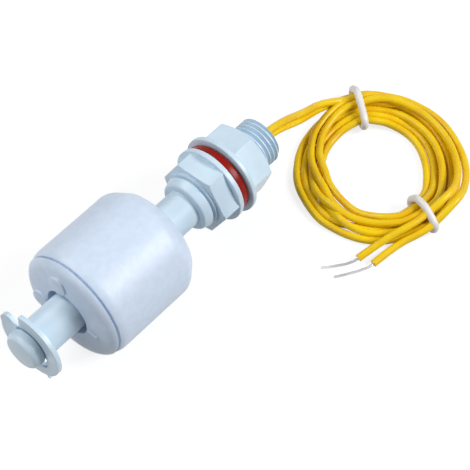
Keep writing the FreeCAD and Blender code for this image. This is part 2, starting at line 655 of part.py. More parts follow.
tie_margin = value("tie_fit + tie_radius")
tie_centre = SIZES["coil_bottom"] + SIZES["coil_height"] / 2
for label, turn in (("first_tie", "first_tie_turn"), ("second_tie", "second_tie_turn")):
    angle = math.radians(SIZES[turn])
    outside = oval_reach("coil_outer_long", "coil_outer_short", SIZES[turn]) + tie_margin
    inside = oval_reach("coil_inner_long", "coil_inner_short", SIZES[turn]) - tie_margin
    top = tie_centre + SIZES["coil_height"] / 2 + tie_margin
    bottom = tie_centre - SIZES["coil_height"] / 2 - tie_margin
    middle = (outside + inside) / 2
    corners = [
        (middle, top), (outside, top), (outside, bottom),
        (inside, bottom), (inside, top), (middle, top),
    ]
    loop = [
        point(
            SIZES["coil_centre_x"] + reach * math.cos(angle),
            SIZES["coil_centre_y"] + reach * math.sin(angle),
            height,
        )
        for reach, height in corners
    ]
    pieces.append(tube(label, loop, [SIZES["tie_corner"]] * 4, "tie_radius"))

doc.recompute()
for item in doc.Objects:
    if "Invalid" in item.State or "Error" in item.State:
        raise ValueError("%s did not compute" % item.Name)
os.makedirs("parts", exist_ok=True)
for piece in pieces:
    shape = piece.Shape
    if shape.isNull() or not shape.isValid() or len(shape.Solids) != 1:
        raise ValueError("%s is not one valid solid" % piece.Label)
    print(piece.Label, "%.2f mm3" % shape.Volume)
    shape.exportStep("parts/%s.step" % piece.Label)
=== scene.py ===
import math

import bpy
from mathutils import Matrix, Vector


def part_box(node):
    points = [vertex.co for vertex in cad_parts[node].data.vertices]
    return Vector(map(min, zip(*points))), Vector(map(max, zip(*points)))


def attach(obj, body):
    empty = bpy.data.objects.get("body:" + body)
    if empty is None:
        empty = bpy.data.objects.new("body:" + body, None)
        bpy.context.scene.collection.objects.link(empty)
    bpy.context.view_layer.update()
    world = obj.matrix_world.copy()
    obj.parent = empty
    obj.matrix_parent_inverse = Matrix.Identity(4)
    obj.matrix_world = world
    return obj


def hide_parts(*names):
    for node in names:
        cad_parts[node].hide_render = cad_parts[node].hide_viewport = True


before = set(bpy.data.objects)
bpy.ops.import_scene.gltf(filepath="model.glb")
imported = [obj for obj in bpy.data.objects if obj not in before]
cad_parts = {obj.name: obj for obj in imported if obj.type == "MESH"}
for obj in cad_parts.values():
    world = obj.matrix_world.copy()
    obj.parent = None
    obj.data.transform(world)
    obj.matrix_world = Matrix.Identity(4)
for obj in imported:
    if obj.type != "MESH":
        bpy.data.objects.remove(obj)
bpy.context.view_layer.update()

# Stem body: one moulding in pale blue polypropylene, from the head with its clip groove, along the
# stem, to the collar, the spanner hexagon, the sealing flange and the threaded tube for the wires.

# Turned pieces are made standing on the bench in millimetres, heights measured from the head's flat
# end, and are then laid along the switch's axis. Points nearer than MERGED become one, and an edge
# whose ends are within ON_RING of a ring belongs to it.
MM = 0.001
MERGED = 0.0005
ON_RING = 0.02
stem_low, stem_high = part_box("stem_body")
float_low, float_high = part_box("float_shell")
axis_height = (stem_low.z + stem_high.z) / 2
lay_down = (
    Matrix.Translation((stem_low.x, 0, axis_height))
    @ Matrix.Rotation(math.radians(90), 4, "Y")
    @ Matrix.Scale(MM, 4)
)


def height_of(x):
    """Height on the bench, in millimetres, of a place along the switch."""
    return (x - stem_low.x) / MM


def recalculated():
    """Merges what meets, turns every face outwards and leaves edit mode."""
    bpy.ops.mesh.select_all(action="SELECT")
    bpy.ops.mesh.remove_doubles(threshold=MERGED)
    bpy.ops.mesh.normals_make_consistent(inside=False)
    bpy.ops.object.mode_set(mode="OBJECT")


def turned(name, rings, sides=128, hollow=False):
    """Rings pulled from one to the next, each a height and a radius; a hollow one closes on itself."""
    height, radius = rings[0]
    bpy.ops.object.select_all(action="DESELECT")
    bpy.ops.mesh.primitive_circle_add(
        vertices=sides, radius=radius, location=(0, 0, height), fill_type="NOTHING" if hollow else "NGON"
    )
    piece = bpy.context.object
    piece.name = name
    bpy.ops.object.transform_apply(location=True, rotation=True, scale=True)
    bpy.ops.object.mode_set(mode="EDIT")
    bpy.ops.mesh.select_all(action="SELECT")
    for next_height, next_radius in rings[1:] + (rings[:1] if hollow else []):
        rise = next_height - height
        bpy.ops.mesh.extrude_region_move(TRANSFORM_OT_translate={"value": (0, 0, rise)})
        growth = next_radius / radius
        bpy.ops.transform.resize(value=(growth, growth, 1), center_override=(0, 0, next_height))
        height = next_height
        radius = next_radius
    recalculated()
    return piece


def plate(name, outline, bottom, top):
    """Flat outline filled and pulled up between two heights."""
    bpy.ops.object.select_all(action="DESELECT")
    bpy.ops.mesh.primitive_circle_add(vertices=len(outline), fill_type="NGON")
    piece = bpy.context.object
    piece.name = name
    for vertex, (x, y) in zip(piece.data.vertices, outline):
        vertex.co = (x, y, bottom)
    bpy.ops.object.mode_set(mode="EDIT")
    bpy.ops.mesh.select_all(action="SELECT")
    bpy.ops.mesh.extrude_region_move(TRANSFORM_OT_translate={"value": (0, 0, top - bottom)})
    recalculated()
    return piece


def spoke(reach, degrees, aside=0.0):
    """Point on the bench at a reach from the axis, turned from the switch's side, and off to one side."""
    turn = math.radians(degrees)
    return (
        -reach * math.sin(turn) - aside * math.cos(turn),
        reach * math.cos(turn) - aside * math.sin(turn),
    )


def alone(piece):
    """Piece made active, with nothing else selected."""
    bpy.ops.object.select_all(action="DESELECT")
    piece.select_set(True)
    bpy.context.view_layer.objects.active = piece


def applied(piece, modifier):
    """Modifier made part of the mesh."""
    alone(piece)
    bpy.ops.object.modifier_apply(modifier=modifier.name)


def eased(piece, width, segments=3, sharper_than=30):
    """Every sharp edge rounded by a width."""
    bevel = piece.modifiers.new("eased", "BEVEL")
    bevel.width = width
    bevel.segments = segments
    bevel.limit_method = "ANGLE"
    bevel.angle_limit = math.radians(sharper_than)
    applied(piece, bevel)
    return piece


def rounded_ring(piece, height, radius, width, segments=6):
    """One round edge of a turned piece blended by a width."""
    mesh = piece.data
    for item in (*mesh.vertices, *mesh.edges, *mesh.polygons):
        item.select = False
    for edge in mesh.edges:
        ends = [mesh.vertices[index].co for index in edge.vertices]
        edge.select = all(
            abs(end.z - height) < ON_RING and abs(math.hypot(end.x, end.y) - radius) < ON_RING
            for end in ends
        )
    alone(piece)
    bpy.ops.object.mode_set(mode="EDIT")
    bpy.ops.mesh.select_mode(type="EDGE")
    bpy.ops.mesh.bevel(offset=width, segments=segments, affect="EDGES")
    bpy.ops.mesh.select_mode(type="VERT")
    recalculated()
    return piece


def joined(piece, tool, operation="UNION"):
    """Piece joined with, cut by or kept inside a tool, which is used up."""
    boolean = piece.modifiers.new("joined", "BOOLEAN")
    boolean.operation = operation
    boolean.solver = "EXACT"
    boolean.object = tool
    applied(piece, boolean)
    bpy.data.objects.remove(tool)
    return piece


def laid(piece, smooth_under=32):
    """Piece laid along the switch's axis, with its round faces shaded smooth."""
    piece.data.transform(lay_down)
    alone(piece)
    bpy.ops.object.mode_set(mode="EDIT")
    bpy.ops.mesh.select_all(action="SELECT")
    bpy.ops.mesh.normals_make_consistent(inside=False)
    bpy.ops.object.mode_set(mode="OBJECT")
    bpy.ops.object.shade_smooth_by_angle(angle=math.radians(smooth_under))
    return piece


def paint(red, green, blue):
    """Colour from its levels out of 255, turned to the amounts of light that a shader takes."""
    shades = [level / 255 for level in (red, green, blue)]
    return [((shade + 0.055) / 1.055) ** 2.4 for shade in shades] + [1.0]


def finish(name, light, dark, rough, grain, depth, cloud=160.0, metal=0.0):
    """Material whose colour drifts between two shades over a fine grain, sizes in metres."""
    unevenness = 0.06
    material = bpy.data.materials.new(name)
    material.use_nodes = True
    nodes = material.node_tree.nodes
    links = material.node_tree.links
    shader = nodes["Principled BSDF"]
    shader.inputs["Metallic"].default_value = metal
    place = nodes.new("ShaderNodeTexCoord")
    drift = nodes.new("ShaderNodeTexNoise")
    drift.inputs["Scale"].default_value = cloud
    drift.inputs["Detail"].default_value = 5
    shade = nodes.new("ShaderNodeMix")
    shade.data_type = "RGBA"
    for socket, colour in ((6, dark), (7, light)):
        shade.inputs[socket].default_value = colour
    spread = nodes.new("ShaderNodeMapRange")
    spread.inputs["From Min"].default_value = 0.35
    spread.inputs["From Max"].default_value = 0.65
    sheen = nodes.new("ShaderNodeMapRange")
    sheen.inputs["To Min"].default_value = rough - unevenness
    sheen.inputs["To Max"].default_value = rough + unevenness
    fine = nodes.new("ShaderNodeTexNoise")
    fine.inputs["Scale"].default_value = 1 / grain
    fine.inputs["Detail"].default_value = 3
    bump = nodes.new("ShaderNodeBump")
    bump.inputs["Distance"].default_value = depth
    bump.inputs["Strength"].default_value = 0.6
    for texture in (drift, fine):
        links.new(place.outputs["Object"], texture.inputs["Vector"])
    links.new(drift.outputs["Fac"], spread.inputs["Value"])
    links.new(spread.outputs["Result"], shade.inputs[0])
    links.new(shade.outputs[2], shader.inputs["Base Color"])
    links.new(fine.outputs["Fac"], sheen.inputs["Value"])
    links.new(sheen.outputs["Result"], shader.inputs["Roughness"])
    links.new(fine.outputs["Fac"], bump.inputs["Height"])
    links.new(bump.outputs["Normal"], shader.inputs["Normal"])
    return material


def fitted(piece, material, body, slot, *nodes):
    """Piece given its finish and its body, standing for the nodes named."""
    piece.data.materials.clear()
    piece.data.materials.append(material)
    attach(piece, body)
    if nodes:
        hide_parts(*nodes)
    return piece


body_blue = finish(
    "body_blue", paint(205, 225, 239), paint(195, 216, 232), rough=0.36, grain=0.00025, depth=0.00001
)

HEAD_FACE_RADIUS = 3.3
HEAD_RIM = 0.55
HEAD_END = 2.3
STEM_RADIUS = 3.85
GROOVE_END = 3.35
GROOVE_RADIUS = 2.9
COLLAR_START = 43.0
COLLAR_FRONT_RADIUS = 5.15
COLLAR_END = 45.0
COLLAR_RADIUS = 5.8
NECK_END = 45.45
NECK_RADIUS = 5.0
LIP_END = 45.95
LIP_RADIUS = 6.0
HEXAGON_END = 49.95
FLANGE_END = 50.95
FLANGE_RADIUS = 8.0
RELIEF_END = 51.55
RELIEF_RADIUS = 4.2
THREAD_CORE = 4.15
TUBE_END = 65.15
PLUG_RADIUS = 3.2
PLUG_SEAT = 53.95
REED_BORE_RADIUS = 2.2
REED_BORE_END = 8.0
stem = turned("stem", [
    (0, HEAD_FACE_RADIUS), (HEAD_RIM, STEM_RADIUS), (HEAD_END, STEM_RADIUS),
    (HEAD_END, GROOVE_RADIUS), (GROOVE_END, GROOVE_RADIUS), (GROOVE_END, STEM_RADIUS),
    (COLLAR_START, STEM_RADIUS), (COLLAR_START, COLLAR_FRONT_RADIUS), (COLLAR_END, COLLAR_RADIUS),
    (COLLAR_END, NECK_RADIUS), (NECK_END, NECK_RADIUS), (NECK_END, LIP_RADIUS), (LIP_END, LIP_RADIUS),
    (LIP_END, NECK_RADIUS), (HEXAGON_END, NECK_RADIUS), (HEXAGON_END, FLANGE_RADIUS),
    (FLANGE_END, FLANGE_RADIUS), (FLANGE_END, RELIEF_RADIUS), (RELIEF_END, RELIEF_RADIUS),
    (RELIEF_END, THREAD_CORE), (TUBE_END, THREAD_CORE), (TUBE_END, PLUG_RADIUS),
    (PLUG_SEAT, PLUG_RADIUS), (PLUG_SEAT, REED_BORE_RADIUS), (REED_BORE_END, REED_BORE_RADIUS),
])
rounded_ring(stem, COLLAR_START, COLLAR_FRONT_RADIUS, 0.45)
rounded_ring(stem, COLLAR_END, COLLAR_RADIUS, 0.3)
rounded_ring(stem, HEAD_RIM, STEM_RADIUS, 0.4)
eased(stem, 0.09, 2)


def hexagon(name, flats, turn, bottom, top):
    """Hexagonal bar between two heights, one corner turned from the switch's side."""
    corners = [spoke(flats / math.sqrt(3), turn + 60 * step) for step in range(6)]
    return plate(name, corners, bottom, top)


HEXAGON_FACE_RADIUS = 7.35
HEXAGON_RIM = 46.3
HEXAGON_RADIUS = 8.4
HEXAGON_FLATS = 13.6
HEXAGON_TURN = 58
INSIDE_FLANGE = 50.1
spanner_hexagon = turned("spanner_hexagon", [
    (LIP_END, HEXAGON_FACE_RADIUS), (HEXAGON_RIM, HEXAGON_RADIUS), (INSIDE_FLANGE, HEXAGON_RADIUS),
])
hexagon_bar = hexagon("hexagon_bar", HEXAGON_FLATS, HEXAGON_TURN, NECK_END, FLANGE_END)
joined(spanner_hexagon, hexagon_bar, "INTERSECT")
eased(spanner_hexagon, 0.12, 2)
joined(stem, spanner_hexagon)

THREAD_RADIUS = 4.9
PITCH = 1.0
THREAD_TURNS = 15
THREAD_FOOT = 50.16
THREAD_CREST = 50.5
CREST_WIDTH = 0.2
RIDGE_WIDTH = 0.88
ridge_root = THREAD_CORE - 0.1
bpy.ops.object.select_all(action="DESELECT")
bpy.ops.mesh.primitive_plane_add(size=1)
thread = bpy.context.object
thread.name = "thread"
ridge = [
    (ridge_root, THREAD_FOOT), (THREAD_RADIUS, THREAD_CREST),
    (ridge_root, THREAD_FOOT + RIDGE_WIDTH), (THREAD_RADIUS, THREAD_CREST + CREST_WIDTH),
]
for vertex, (radius, height) in zip(thread.data.vertices, ridge):
    vertex.co = (radius, 0, height)
screw = thread.modifiers.new("screw", "SCREW")
screw.angle = math.radians(360)
screw.screw_offset = PITCH
screw.iterations = THREAD_TURNS
screw.steps = 64
screw.render_steps = 64
applied(thread, screw)
bpy.ops.object.mode_set(mode="EDIT")
bpy.ops.mesh.select_all(action="SELECT")
bpy.ops.mesh.remove_doubles(threshold=MERGED)
bpy.ops.mesh.fill_holes(sides=8)
recalculated()
thread_room = turned("thread_room", [
    (RELIEF_END + 0.2, 4.3), (RELIEF_END + 0.4, 5.1), (TUBE_END - 0.3, 5.1), (TUBE_END - 0.05, 4.6),
])
joined(thread, thread_room, "INTERSECT")
joined(stem, thread)
fitted(laid(stem), body_blue, "switch", "body_plastic", "stem_body")

# Retaining clip: thin moulded C ring snapped into the head's groove, which stops the float from
# sliding off. It has a V mouth, one broad ear to push it by, a hinge notch and the gate's nub.
CLIP_LOW = 2.37
CLIP_HIGH = 3.27
CLIP_RADIUS = 7.1
CLIP_BORE = 2.95
RECESS_RADIUS = 4.2
recess_end = CLIP_LOW + 0.35
clip = turned("clip", [
    (CLIP_LOW, RECESS_RADIUS), (CLIP_LOW, CLIP_RADIUS), (CLIP_HIGH, CLIP_RADIUS), (CLIP_HIGH, CLIP_BORE),
    (recess_end, CLIP_BORE), (recess_end, RECESS_RADIUS),
], hollow=True)


def round_outline(middle, radius, corners):
    """Round outline about a point on the bench."""
    turns = [math.radians(360 / corners * step) for step in range(corners)]
    return [(middle[0] + radius * math.cos(turn), middle[1] + radius * math.sin(turn)) for turn in turns]


EAR_RADIUS = 2.2
EAR_CORNERS = 72
ear = round_outline(spoke(5.3, 20), EAR_RADIUS, EAR_CORNERS)
joined(clip, plate("ear", ear, CLIP_LOW, CLIP_HIGH))
NUB_FOOT = 6.1
NUB_TIP = 8.1
NUB_TURN = -119
NUB_HALF = 0.28
NUB_INSET = 0.15
nub = [
    spoke(NUB_FOOT, NUB_TURN, -NUB_HALF), spoke(NUB_TIP, NUB_TURN, -NUB_HALF),
    spoke(NUB_TIP, NUB_TURN, NUB_HALF), spoke(NUB_FOOT, NUB_TURN, NUB_HALF),
]
joined(clip, plate("nub", nub, CLIP_LOW + NUB_INSET, CLIP_HIGH - NUB_INSET))
mouth = [
    spoke(0, 46, -0.3), spoke(3.7, 45, -0.3), spoke(6.2, 42), spoke(6.8, 38), spoke(7.3, 32),
    spoke(9.3, 28), spoke(9.3, 78), spoke(6.9, 72), spoke(3.7, 50, 0.3), spoke(0, 46, 0.3),
]
PAST_CLIP = 5
joined(clip, plate("mouth", mouth, 0, PAST_CLIP), "DIFFERENCE")
NOTCH_RADIUS = 1.5
hinge_notch = round_outline(spoke(3.6, -137), NOTCH_RADIUS, EAR_CORNERS)
joined(clip, plate("hinge_notch", hinge_notch, 0, PAST_CLIP), "DIFFERENCE")
eased(clip, 0.18, 4)
fitted(laid(clip), body_blue, "switch", "clip_plastic", "retaining_clip")

# Float: a hollow barrel with its guide tube and far shoulder, moulded in one, and a domed cap with
# two low bosses and a short raised line, welded to it at the seam groove.
float_blue = finish(
    "float_blue", paint(208, 223, 242), paint(202, 217, 236), rough=0.42, grain=0.0005, depth=0.00003,
    cloud=700.0,
)
seam = height_of(float_low.x)
far_end = height_of(float_high.x)
barrel = (float_high.z - float_low.z) / 2 / MM
FLOAT_SIDES = 160
FLOAT_WALL = 1.4
SEAM_DROP = 0.4
MOUTH_RADIUS = 4.85
GUIDE_BORE = 4.3
GUIDE_RADIUS = 5.4
STOP_RADIUS = 6.8
barrel_start = seam + 1.2
mouth_end = seam + 5
stop_low = seam + 15
stop_high = seam + 16.4
shoulder = far_end - 2.9
end_radius = barrel - 2.35
shell = turned("float_barrel", [
    (seam, barrel - FLOAT_WALL), (seam, barrel - SEAM_DROP), (barrel_start, barrel), (shoulder, barrel),
    (far_end, end_radius), (far_end, GUIDE_BORE), (mouth_end, GUIDE_BORE), (mouth_end, MOUTH_RADIUS),
    (seam, MOUTH_RADIUS), (seam, GUIDE_RADIUS), (stop_low, GUIDE_RADIUS), (stop_low, STOP_RADIUS),
    (stop_high, STOP_RADIUS), (stop_high, GUIDE_RADIUS), (far_end - FLOAT_WALL, GUIDE_RADIUS),
    (shoulder, barrel - FLOAT_WALL),
], sides=FLOAT_SIDES, hollow=True)
rounded_ring(shell, shoulder, barrel, 1.0, 10)
rounded_ring(shell, barrel_start, barrel, 0.5, 6)
rounded_ring(shell, far_end, end_radius, 0.5, 6)
rounded_ring(shell, seam, barrel - SEAM_DROP, 0.1, 2)
fitted(laid(shell, 40), float_blue, "float", "float_plastic", "float_shell")

groove_low = seam - 0.45
groove_radius = barrel - 1.1
dome_edge = seam - 1.4
face_edge = seam - 2.05
face_radius = barrel - 3.2
face_middle = seam - 2.2
mark_top = seam - 2.45
cap = turned("float_cap_dome", [
    (seam, MOUTH_RADIUS), (seam, groove_radius), (groove_low, groove_radius),
    (groove_low, barrel - SEAM_DROP), (dome_edge, groove_radius), (face_edge, face_radius),
    (face_middle, MOUTH_RADIUS),
], sides=FLOAT_SIDES, hollow=True)
rounded_ring(cap, face_edge, face_radius, 1.2, 6)
rounded_ring(cap, dome_edge, groove_radius, 0.75, 8)
rounded_ring(cap, groove_low, barrel - SEAM_DROP, 0.15, 3)
rounded_ring(cap, face_middle, MOUTH_RADIUS, 0.2, 4)
BOSS_REACH = 6.9
BOSS_RADIUS = 2
for degrees in (76, -17):
    disc = round_outline(spoke(BOSS_REACH, degrees), BOSS_RADIUS, 60)
    joined(cap, eased(plate("boss", disc, mark_top, dome_edge), 0.1, 3))
LINE_START = 5.1
LINE_END = 7.7
LINE_WIDTH = 0.45
LINE_TURN = -175
line = [
    spoke(LINE_START, LINE_TURN), spoke(LINE_END, LINE_TURN),
    spoke(LINE_END, LINE_TURN, LINE_WIDTH), spoke(LINE_START, LINE_TURN, LINE_WIDTH),
]
joined(cap, eased(plate("raised_line", line, mark_top, seam - 1.2), 0.08, 2))
fitted(laid(cap, 40), float_blue, "float", "float_plastic", "float_cap")

# Ring magnet: sintered ferrite, dull grey-black, pressed onto the guide tube inside the float. It
# closes the reed switch through the stem's wall as the float comes past.
ferrite = finish(
    "ferrite", paint(72, 72, 76), paint(48, 48, 52), rough=0.6, grain=0.0002, depth=0.00002, cloud=900.0
)


def dressed(node, material):
    """Node of the frame given its finish."""
    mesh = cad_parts[node].data
    mesh.materials.clear()
    mesh.materials.append(material)


dressed("ring_magnet", ferrite)

# Reed switch: a glass capsule with two nickel-iron blades, one lead folded back through a clear
# sleeve, both soldered to the wires inside the stem.
glass = finish(
    "reed_glass", paint(205, 232, 214), paint(196, 224, 206), rough=0.1, grain=0.001, depth=0.000001
)
glass.node_tree.nodes["Principled BSDF"].inputs["Transmission Weight"].default_value = 0.9
reed_metal = finish(
    "reed_metal", paint(206, 204, 198), paint(186, 184, 178), rough=0.3, grain=0.0001, depth=0.000002,
    metal=1.0,
)
solder = finish(
    "solder", paint(214, 214, 216), paint(184, 184, 188), rough=0.34, grain=0.0003, depth=0.00003,
    metal=1.0,
)
sleeve_plastic = finish(
    "sleeve_plastic", paint(232, 228, 214), paint(222, 216, 200), rough=0.45, grain=0.0003, depth=0.000005
)
dressed("reed_glass", glass)
dressed("reed_blade_a", reed_metal)
dressed("reed_blade_b", reed_metal)
dressed("lead_sleeve", sleeve_plastic)
dressed("solder_joint_a", solder)
dressed("solder_joint_b", solder)

# Gasket: dark red silicone ring with a rounded rim, loose on the thread against the body's flange.
# It seals the hole in the tank's wall when the nut is drawn up.
gasket_low, gasket_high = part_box("gasket")
gasket_bottom = height_of(gasket_low.x)
gasket_top = height_of(gasket_high.x)
gasket_rim = (gasket_high.z - gasket_low.z) / 2 / MM
silicone = finish(
    "red_silicone", paint(158, 20, 6), paint(126, 11, 4), rough=0.26, grain=0.0003, depth=0.00001
)
silicone.node_tree.nodes["Principled BSDF"].inputs["Specular IOR Level"].default_value = 0.15
GASKET_BORE = 4.95
gasket = turned("gasket_ring", [
    (gasket_bottom, GASKET_BORE), (gasket_bottom, gasket_rim),
    (gasket_top, gasket_rim), (gasket_top, GASKET_BORE),
], hollow=True)
for height in (gasket_bottom, gasket_top):
    rounded_ring(gasket, height, gasket_rim, 0.6, 8)
fitted(laid(gasket, 50), silicone, "gasket_ring", "silicone", "gasket")

# Lock nut: round flange and hexagon moulded in the body's plastic, its corners cut at the far end.
# Its bore runs plain over the thread's crests.
nut_low, nut_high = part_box("lock_nut")
nut_bottom = height_of(nut_low.x)
nut_top = height_of(nut_high.x)
nut_rim = (nut_high.z - nut_low.z) / 2 / MM
NUT_BORE = 4.96
NUT_MOUTH = 0.5
NUT_END_RADIUS = 6.5
NUT_FLATS = 13.4
NUT_TURN = 49
inside_nut_flange = nut_bottom + 0.5
corner_start = nut_top - 1.0
nut = turned("nut_hexagon", [
    (inside_nut_flange, NUT_BORE), (inside_nut_flange, nut_rim), (corner_start, nut_rim),
    (nut_top, NUT_END_RADIUS), (nut_top, NUT_BORE + NUT_MOUTH), (nut_top - NUT_MOUTH, NUT_BORE),
], hollow=True)
joined(nut, hexagon("nut_bar", NUT_FLATS, NUT_TURN, nut_bottom, nut_top + 1), "INTERSECT")
eased(nut, 0.12, 2)
flange_top = nut_bottom + 1.1
nut_flange = turned("nut_flange", [
    (nut_bottom, NUT_BORE), (nut_bottom, nut_rim), (flange_top, nut_rim), (flange_top, NUT_BORE),
], hollow=True)
rounded_ring(nut_flange, nut_bottom, nut_rim, 0.2, 4)
rounded_ring(nut_flange, flange_top, nut_rim, 0.35, 5)
joined(nut, nut_flange)
nut.name = "nut"
fitted(laid(nut), body_blue, "nut", "nut_plastic", "lock_nut")

# Potting plug: cream epoxy poured round the two wires in the threaded tube, where it holds them fast
# and keeps water from the reed switch.
resin = finish(
    "resin", paint(226, 220, 200), paint(206, 199, 176), rough=0.3, grain=0.0006, depth=0.00003
)
dressed("potting_plug", resin)

# Wires: two, each of seven copper strands in a yellow PVC jacket, from the plug one above the other
# down to the coil, wound together three and a half turns on the table, and out to their stripped ends.

# Reaches are the distances of a wire's middle from the coil's centre, one every REACH_STEP degrees
# clockwise from FIRST_REACH. Each tie has its direction, and the reaches that it holds its wires in.
WIRE_RADIUS = 0.75
TIE_RADIUS = 0.76
COIL_CENTRE = (48.4, -17.7)
FIRST_REACH = 60
REACH_STEP = 30
FIRST_TURN = 55
STEP = 10
PER_TURN = 360 // STEP
TIES = {55: (12.9, 19.2), -105: (11.2, 17.9)}
TIE_SPAN = 40
CLEAR = 0.02
DEGREES_PER_RISE = 300
reaches_a = [
    17.6, 16.4, 14.4, 12.2, 11.65, 12.7, 13.0, 14.4, 15.0, 14.6, 14.9, 15.6,
    15.9, 15.7, 13.7, 11.9, 11.7, 13.2, 14.0, 12.9, 13.9, 14.3, 12.9, 13.9,
    14.2, 14.6, 12.5, 10.6, 10.3, 11.9, 13.4, 12.0, 10.1, 9.9, 11.9, 14.8,
    16.7, 17.0, 15.9, 14.6, 14.85, 15.4,
]
reaches_b = [
    19.3, 18.3, 16.6, 14.9, 14.6, 15.4, 16.2, 17.1, 16.5, 15.8, 16.1, 17.1,
    17.3, 17.2, 15.3, 13.5, 13.1, 14.05, 14.5, 15.7, 15.4, 12.8, 11.5, 12.5,
    12.6, 13.2, 10.7, 8.9, 8.7, 10.6, 12.2, 13.0, 12.3, 12.4, 13.8, 16.4,
    17.9, 18.85, 17.45, 16.4, 16.4, 17.4,
]


def resting_height(degrees):
    """Height of a wire that lies on the table, or on a tie where one passes under it."""
    height = WIRE_RADIUS + CLEAR
    for tie_turn in TIES:
        away = abs((degrees - tie_turn + 180) % 360 - 180)
        if away < TIE_SPAN:
            share = 1 - away / TIE_SPAN
            height += 2 * TIE_RADIUS * share * share * (3 - 2 * share)
    return height


def loose_turns(reaches, lift):
    """Wire's reach and height at every step of its turns, each turn a little above the last."""
    turns = []
    for index in range((len(reaches) - 1) * REACH_STEP // STEP):
        before, share = divmod((FIRST_REACH - FIRST_TURN + index * STEP) / REACH_STEP, 1)
        near = [reaches[min(max(int(before) + place, 0), len(reaches) - 1)] for place in (-1, 0, 1, 2)]
        bend = 2 * near[0] - 5 * near[1] + 4 * near[2] - near[3]
        twist = 3 * (near[1] - near[2]) + near[3] - near[0]
        reach = near[1] + share * (near[2] - near[0] + share * (bend + share * twist)) / 2
        height = resting_height(FIRST_TURN - index * STEP) + lift + index * STEP / DEGREES_PER_RISE
        turns.append(Vector((reach, height)))
    return turns


turns_a = loose_turns(reaches_a, 0.3)
turns_b = loose_turns(reaches_b, 0.0)
wanted_a = [point.x for point in turns_a]
wanted_b = [point.x for point in turns_b]


def wires_at(column):
    """Both wires' places in one direction from the coil's centre, in the order they were laid."""
    indexes = range(column, len(turns_a), PER_TURN)
    return [turns[index] for index in indexes for turns in (turns_b, turns_a)]


# The turns settle on each other, on the table and in the ties: each is evened out, drawn to its
# reach and dropped a little, and turns that overlap push each other apart. The last steps only drop.
SETTLING_STEPS = 200
EVENED_STEPS = 185
EVENING = 0.5
DRAWING = 0.08
DROP = 0.03
for settling in range(SETTLING_STEPS):
    for turns, wanted in ((turns_a, wanted_a), (turns_b, wanted_b)):
        was = [point.copy() for point in turns]
        for index in range(1, len(turns) - 1):
            if settling < EVENED_STEPS:
                turns[index] += ((was[index - 1] + was[index + 1]) / 2 - was[index]) * EVENING
                turns[index].x += (wanted[index] - was[index].x) * DRAWING
            turns[index].y -= DROP
    for column in range(PER_TURN):
        section = wires_at(column)
        for lower in range(len(section)):
            for upper in range(lower + 1, len(section)):
                apart = section[upper] - section[lower]
                overlap = 2 * WIRE_RADIUS - apart.length
                if overlap > 0:
                    push = apart.normalized() * overlap / 2
                    section[lower] -= push
                    section[upper] += push
        degrees = FIRST_TURN - column * STEP
        for point in section:
            point.y = max(point.y, resting_height(degrees))
            if degrees in TIES:
                point.x = min(max(point.x, TIES[degrees][0]), TIES[degrees][1])


def about_coil(reach, turn, height):
    """Place at a reach and a turn from the coil's centre."""
    return (COIL_CENTRE[0] + reach * math.cos(turn), COIL_CENTRE[1] + reach * math.sin(turn), height)


def wound(turns):
    """Places in space of a wire's turns, set out a little because the line cuts its corners."""
    places = []
    for index, point in enumerate(turns):
        reach = point.x / math.cos(math.radians(STEP / 2))
        places.append(about_coil(reach, math.radians(FIRST_TURN - index * STEP), point.y))
    return places


lead_a = [(31.98, 0, 12.43), (37.4, -0.1, 12.2), (45.6, 0.2, 7.6), (52.0, 0.6, 4.8)]
lead_b = [(31.98, 0, 10.87), (36.6, -0.1, 10.6), (45.0, 0.2, 5.8), (51.6, 1.0, 3.0)]
tail_a = [(44.0, -32.0, 3.9), (40.2, -31.3, 3.7), (35.6, -29.3, 2.8), (29.2, -27.5, 1.0)]
tail_b = [(44.2, -34.2, 3.0), (41.0, -33.4, 2.4), (36.2, -31.2, 1.6), (30.3, -30.4, 0.8)]


def smooth_line(name, places, radius, closed=False):
    """Round cord that follows a smooth line through millimetre places."""
    curve = bpy.data.curves.new(name, "CURVE")
    curve.dimensions = "3D"
    spline = curve.splines.new("NURBS")
    spline.points.add(len(places) - 1)
    for point, place in zip(spline.points, places):
        point.co = (*(MM * number for number in place), 1)
    spline.order_u = 3
    spline.use_endpoint_u = not closed
    spline.use_cyclic_u = closed
    spline.resolution_u = 6
    curve.bevel_depth = radius * MM
    curve.bevel_resolution = 6
    curve.use_fill_caps = not closed
    piece = bpy.data.objects.new(name, curve)
    bpy.context.scene.collection.objects.link(piece)
    return piece


yellow_pvc = finish(
    "yellow_pvc", paint(240, 204, 12), paint(229, 184, 5), rough=0.28, grain=0.0005, depth=0.000008
)
yellow_pvc.node_tree.nodes["Principled BSDF"].inputs["Specular IOR Level"].default_value = 0.3
wire_a = smooth_line("wire_a", lead_a + wound(turns_a) + tail_a, WIRE_RADIUS)
wire_b = smooth_line("wire_b", lead_b + wound(turns_b) + tail_b, WIRE_RADIUS)
fitted(wire_a, yellow_pvc, "switch", "wire_jacket", "wire_a_lead", "wire_coil", "wire_a_tail")
fitted(wire_b, yellow_pvc, "switch", "wire_jacket", "wire_b_lead", "wire_b_tail")
dressed("wire_a_inner", yellow_pvc)
dressed("wire_b_inner", yellow_pvc)

# Tinned ends: the stripped strands of each wire, twisted together and dipped in solder, so that the
# seven strands show only as a fluted outline that turns along the end.
tinned_copper = finish(
    "tinned_copper", paint(222, 222, 226), paint(182, 183, 188), rough=0.2, grain=0.0004, depth=0.000006,
    metal=1.0,
)
STRANDS = 7
STRAND_CORNERS = 6
END_RADIUS = 0.27


